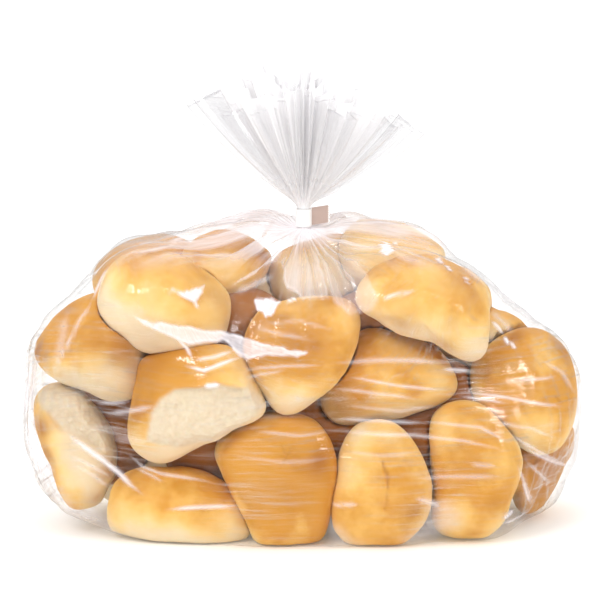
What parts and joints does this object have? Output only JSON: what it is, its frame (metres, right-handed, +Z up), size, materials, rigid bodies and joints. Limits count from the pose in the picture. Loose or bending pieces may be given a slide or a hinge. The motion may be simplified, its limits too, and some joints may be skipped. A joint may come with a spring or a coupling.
{
  "type": "bag of dinner rolls",
  "caption": "Clear film bag packed with soft oval dinner rolls, gathered at the neck and closed with a strip of tape, its open mouth fanned out above.",
  "frame": {"origin": "middle of the box round the whole pack, on the surface that it stands on", "axes": "+Z up along the neck, +X to the viewer's right along the pack's length, -Y towards the viewer"},
  "size_m": [0.3216, 0.1586, 0.2626],
  "materials": {
    "film": "clear glossy thin plastic film",
    "gathered_film": "clear glossy thin plastic film in many layers",
    "tape": "thin satin white tape",
    "crust": "soft golden-brown baked crust, paler at the sides"
  },
  "bodies": {
    "root": {"filled_bag": "film", "gathered_top": "gathered_film", "neck_tape": "tape"}
  },
  "joints": []
}
